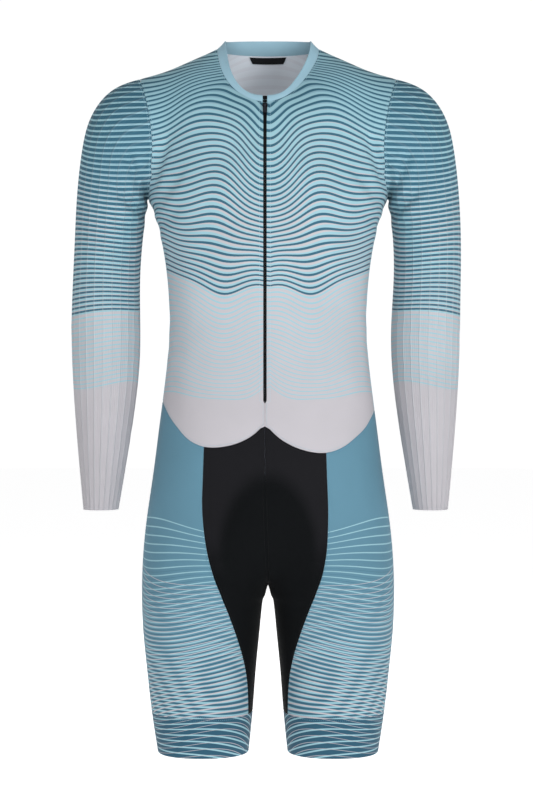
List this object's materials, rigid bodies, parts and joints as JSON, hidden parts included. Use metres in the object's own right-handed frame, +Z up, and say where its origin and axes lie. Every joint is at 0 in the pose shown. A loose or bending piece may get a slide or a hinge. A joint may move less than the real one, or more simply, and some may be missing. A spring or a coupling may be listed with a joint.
{
  "type": "time trial suit garment",
  "caption": "Close-fitting long-sleeved one-piece cycling suit with short legs, a front zip and hem bands, hollow in its worn form.",
  "frame": {"origin": "at neck height, midway between the two points where the shoulders meet the collar", "axes": "+Z up, the front faces -Y, and the wearer's left is +X"},
  "size_m": [0.5712, 0.2486, 1.0486],
  "materials": {
    "collar": "plain light blue elastic knit",
    "body": "printed stretch knit, blue at the shoulders and pale grey below",
    "sleeve": "printed ribbed stretch knit",
    "leg": "printed dense stretch knit",
    "inset": "plain black dense stretch knit",
    "gripper": "printed elastic band",
    "pad": "brushed knit over foam",
    "label": "plain black patch",
    "zip": "black coil and tape",
    "metal": "dark semi-gloss"
  },
  "bodies": {
    "suit": {"collar": "collar", "front_left": "body", "front_right": "body", "back": "body", "sleeve_left": "sleeve", "sleeve_right": "sleeve", "leg_left": "leg", "leg_right": "leg", "inset_left": "inset", "inset_right": "inset", "gripper_left": "gripper", "gripper_right": "gripper", "seat_pad": "pad", "neck_label": "label", "zip_chain": "zip", "zip_tape_left": "zip", "zip_tape_right": "zip", "zip_slider": "metal"},
    "pull_tab": {"zip_pull": "metal"}
  },
  "joints": [
    {"name": "zip_pull_hinge", "type": "hinge", "parent": "suit", "child": "pull_tab", "pos_m": [-0.0044, -0.09769, -0.09301], "axis": [-1, 0, 0], "range_deg": [0, 155]}
  ]
}
